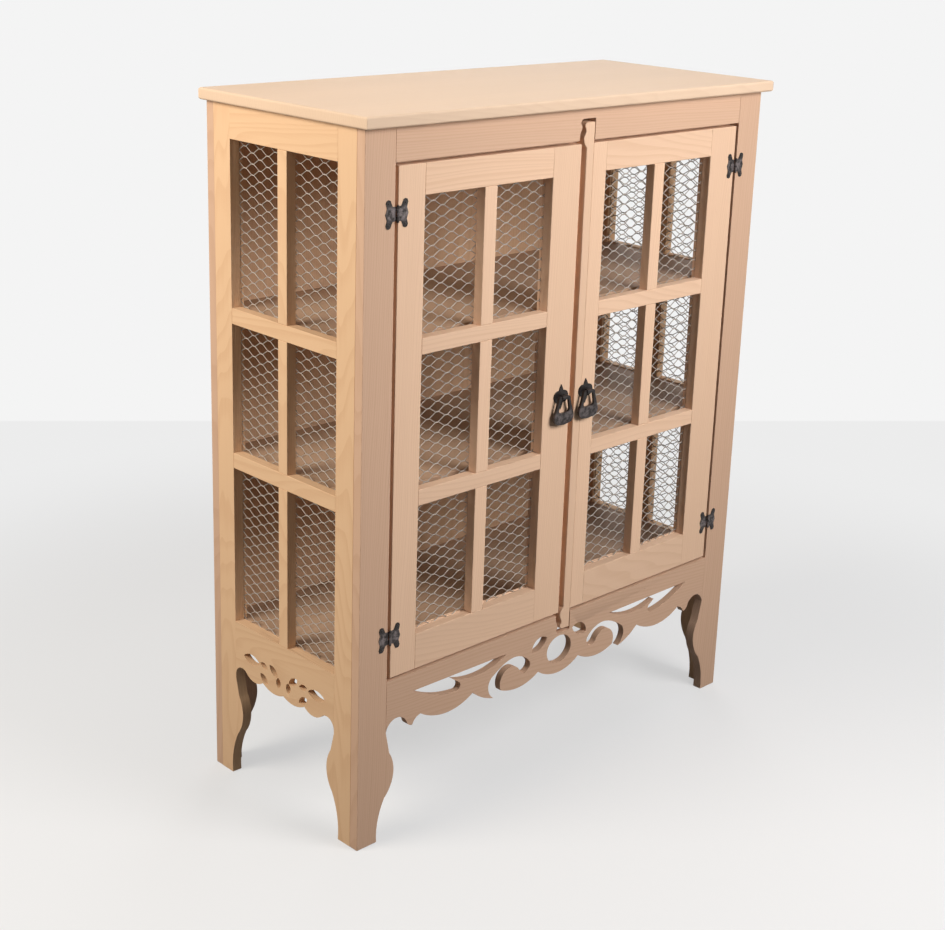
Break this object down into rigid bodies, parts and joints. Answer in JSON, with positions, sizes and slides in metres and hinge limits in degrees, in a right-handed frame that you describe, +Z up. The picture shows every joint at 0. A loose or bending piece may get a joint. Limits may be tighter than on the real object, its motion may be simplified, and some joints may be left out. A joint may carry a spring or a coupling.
{
  "type": "trastero cabinet",
  "caption": "Pine trastero cabinet on scroll-cut legs, with pierced aprons, wire-netted side lights, shelves and paired netted doors on butterfly hinges with drop pulls.",
  "frame": {"origin": "on the floor under the centre of the top board", "axes": "+X to the right along the front, +Y from front to back, +Z up"},
  "size_m": [1, 0.43, 1.25],
  "materials": {
    "bare_pine": "sanded, unfinished",
    "top_pine": "sanded, unfinished",
    "inner_pine": "sanded, unfinished",
    "black_iron": "satin black",
    "galvanised_netting": "galvanised wire"
  },
  "bodies": {
    "carcass": {"back_panel": "inner_pine", "cabinet_floor": "inner_pine", "floor_cleats": "inner_pine", "front_apron": "bare_pine", "front_leg_left": "bare_pine", "front_leg_right": "bare_pine", "front_top_rail": "bare_pine", "left_frame_hinge_leaves": "black_iron", "lower_shelf": "inner_pine", "rear_bottom_rail": "bare_pine", "rear_leg_left": "bare_pine", "rear_leg_right": "bare_pine", "rear_top_rail": "bare_pine", "right_frame_hinge_leaves": "black_iron", "shelf_cleats": "inner_pine", "side_apron_left": "bare_pine", "side_apron_right": "bare_pine", "side_cross_bars_left": "bare_pine", "side_cross_bars_right": "bare_pine", "side_leg_front_left": "bare_pine", "side_leg_front_right": "bare_pine", "side_leg_rear_left": "bare_pine", "side_leg_rear_right": "bare_pine", "side_net_beads_left": "bare_pine", "side_net_beads_right": "bare_pine", "side_net_left": "galvanised_netting", "side_net_right": "galvanised_netting", "side_top_rail_left": "bare_pine", "side_top_rail_right": "bare_pine", "side_upright_bar_left": "bare_pine", "side_upright_bar_right": "bare_pine", "top_board": "top_pine", "upper_shelf": "inner_pine"},
    "left_door": {"left_door_bottom_rail": "bare_pine", "left_door_closing_batten": "bare_pine", "left_door_cross_bars": "bare_pine", "left_door_hinge_leaves": "black_iron", "left_door_hinge_stile": "bare_pine", "left_door_lock_stile": "bare_pine", "left_door_net": "galvanised_netting", "left_door_net_beads": "bare_pine", "left_door_top_rail": "bare_pine", "left_door_upright_bar": "bare_pine", "left_pull_plate": "black_iron"},
    "right_door": {"right_door_bottom_rail": "bare_pine", "right_door_cross_bars": "bare_pine", "right_door_hinge_leaves": "black_iron", "right_door_hinge_stile": "bare_pine", "right_door_lock_stile": "bare_pine", "right_door_meeting_strip": "bare_pine", "right_door_net": "galvanised_netting", "right_door_net_beads": "bare_pine", "right_door_top_rail": "bare_pine", "right_door_upright_bar": "bare_pine", "right_pull_plate": "black_iron"},
    "left_bail": {"left_pull_bail": "black_iron"},
    "right_bail": {"right_pull_bail": "black_iron"}
  },
  "joints": [
    {"name": "left_door_swing", "type": "hinge", "parent": "carcass", "child": "left_door", "pos_m": [-0.42275, -0.1998, 0.74], "axis": [0, 0, -1], "range_deg": [0, 175]},
    {"name": "right_door_swing", "type": "hinge", "parent": "carcass", "child": "right_door", "pos_m": [0.42275, -0.1998, 0.74], "axis": [0, 0, 1], "range_deg": [0, 175]},
    {"name": "left_bail_swing", "type": "hinge", "parent": "left_door", "child": "left_bail", "pos_m": [-0.03, -0.206, 0.727], "axis": [-1, 0, 0], "range_deg": [0, 90]},
    {"name": "right_bail_swing", "type": "hinge", "parent": "right_door", "child": "right_bail", "pos_m": [0.034, -0.206, 0.727], "axis": [-1, 0, 0], "range_deg": [0, 90]}
  ]
}
